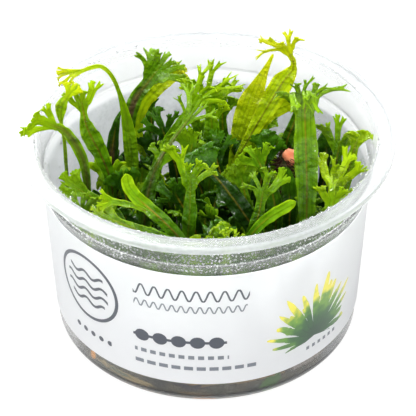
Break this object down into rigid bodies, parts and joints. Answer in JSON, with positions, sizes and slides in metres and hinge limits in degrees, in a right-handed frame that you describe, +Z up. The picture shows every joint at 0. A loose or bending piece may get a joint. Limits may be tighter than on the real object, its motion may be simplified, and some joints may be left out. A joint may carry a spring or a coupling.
{
  "type": "potted aquarium fern in a tissue culture cup",
  "caption": "Lace java fern with forked, crested fronds on creeping rhizomes and a root mat, standing in a round clear plastic cup with a flanged rim and a label band.",
  "frame": {"origin": "middle of the underside of the cup", "axes": "+Z up along the cup's axis; -Y towards the side that the picture shows, +X to the right of it"},
  "size_m": [0.1, 0.1, 0.083],
  "materials": {
    "clear_cup": "clear polypropylene, smooth, with condensed droplets",
    "label": null,
    "roots": "matted fine roots, wet",
    "rhizome": "rough creeping stem with dark hairs",
    "yellow_frond": "thin young leaf, wet and glossy",
    "bright_frond": "leaf, wet and glossy",
    "mid_frond": "leaf, wet and glossy",
    "dark_frond": "old leaf, wet and glossy"
  },
  "bodies": {
    "root": {"cup": "clear_cup", "label": "label", "root_mat": "roots", "rhizome_left": "rhizome", "rhizome_front_left": "rhizome", "rhizome_front": "rhizome", "rhizome_centre": "rhizome", "rhizome_back": "rhizome", "rhizome_right": "rhizome", "rhizome_front_right": "rhizome", "rhizome_stub": "rhizome", "frond_left_arch": "yellow_frond", "frond_left_fan": "bright_frond", "frond_left_bow": "yellow_frond", "frond_left_over": "bright_frond", "frond_left_low": "mid_frond", "frond_left_dark": "dark_frond", "frond_left_edge": "mid_frond", "frond_front_left_bright": "bright_frond", "frond_front_left_low": "bright_frond", "frond_front_left_inner": "mid_frond", "frond_front_peek_left": "bright_frond", "frond_front_centre": "bright_frond", "frond_centre_low": "dark_frond", "frond_centre_inner": "mid_frond", "frond_left_mid": "mid_frond", "frond_left_cross": "mid_frond", "frond_back_left_small": "dark_frond", "frond_back_left_tall": "mid_frond", "frond_back_left_pale": "yellow_frond", "frond_back_lobed": "mid_frond", "frond_centre_lace": "bright_frond", "frond_centre_dark": "dark_frond", "frond_centre_lobed": "bright_frond", "frond_tall_lance": "yellow_frond", "frond_tall_crested": "yellow_frond", "frond_centre_right_dark": "dark_frond", "frond_centre_right_small": "mid_frond", "frond_right_inner": "dark_frond", "frond_side_blade": "yellow_frond", "frond_back_right_stem": "mid_frond", "frond_right_tall": "mid_frond", "frond_right_round": "dark_frond", "frond_right_bush": "mid_frond", "frond_right_edge": "bright_frond", "frond_right_dark": "dark_frond", "frond_back_right_small": "dark_frond", "frond_back_right_low": "mid_frond", "frond_right_wavy": "bright_frond", "frond_right_fan": "bright_frond", "frond_front_right_inner": "dark_frond", "frond_front_peek_right": "bright_frond", "frond_front_right_wide": "bright_frond", "frond_front_right_crest": "mid_frond", "frond_front_cross": "dark_frond", "frond_right_cross": "mid_frond"}
  },
  "joints": []
}
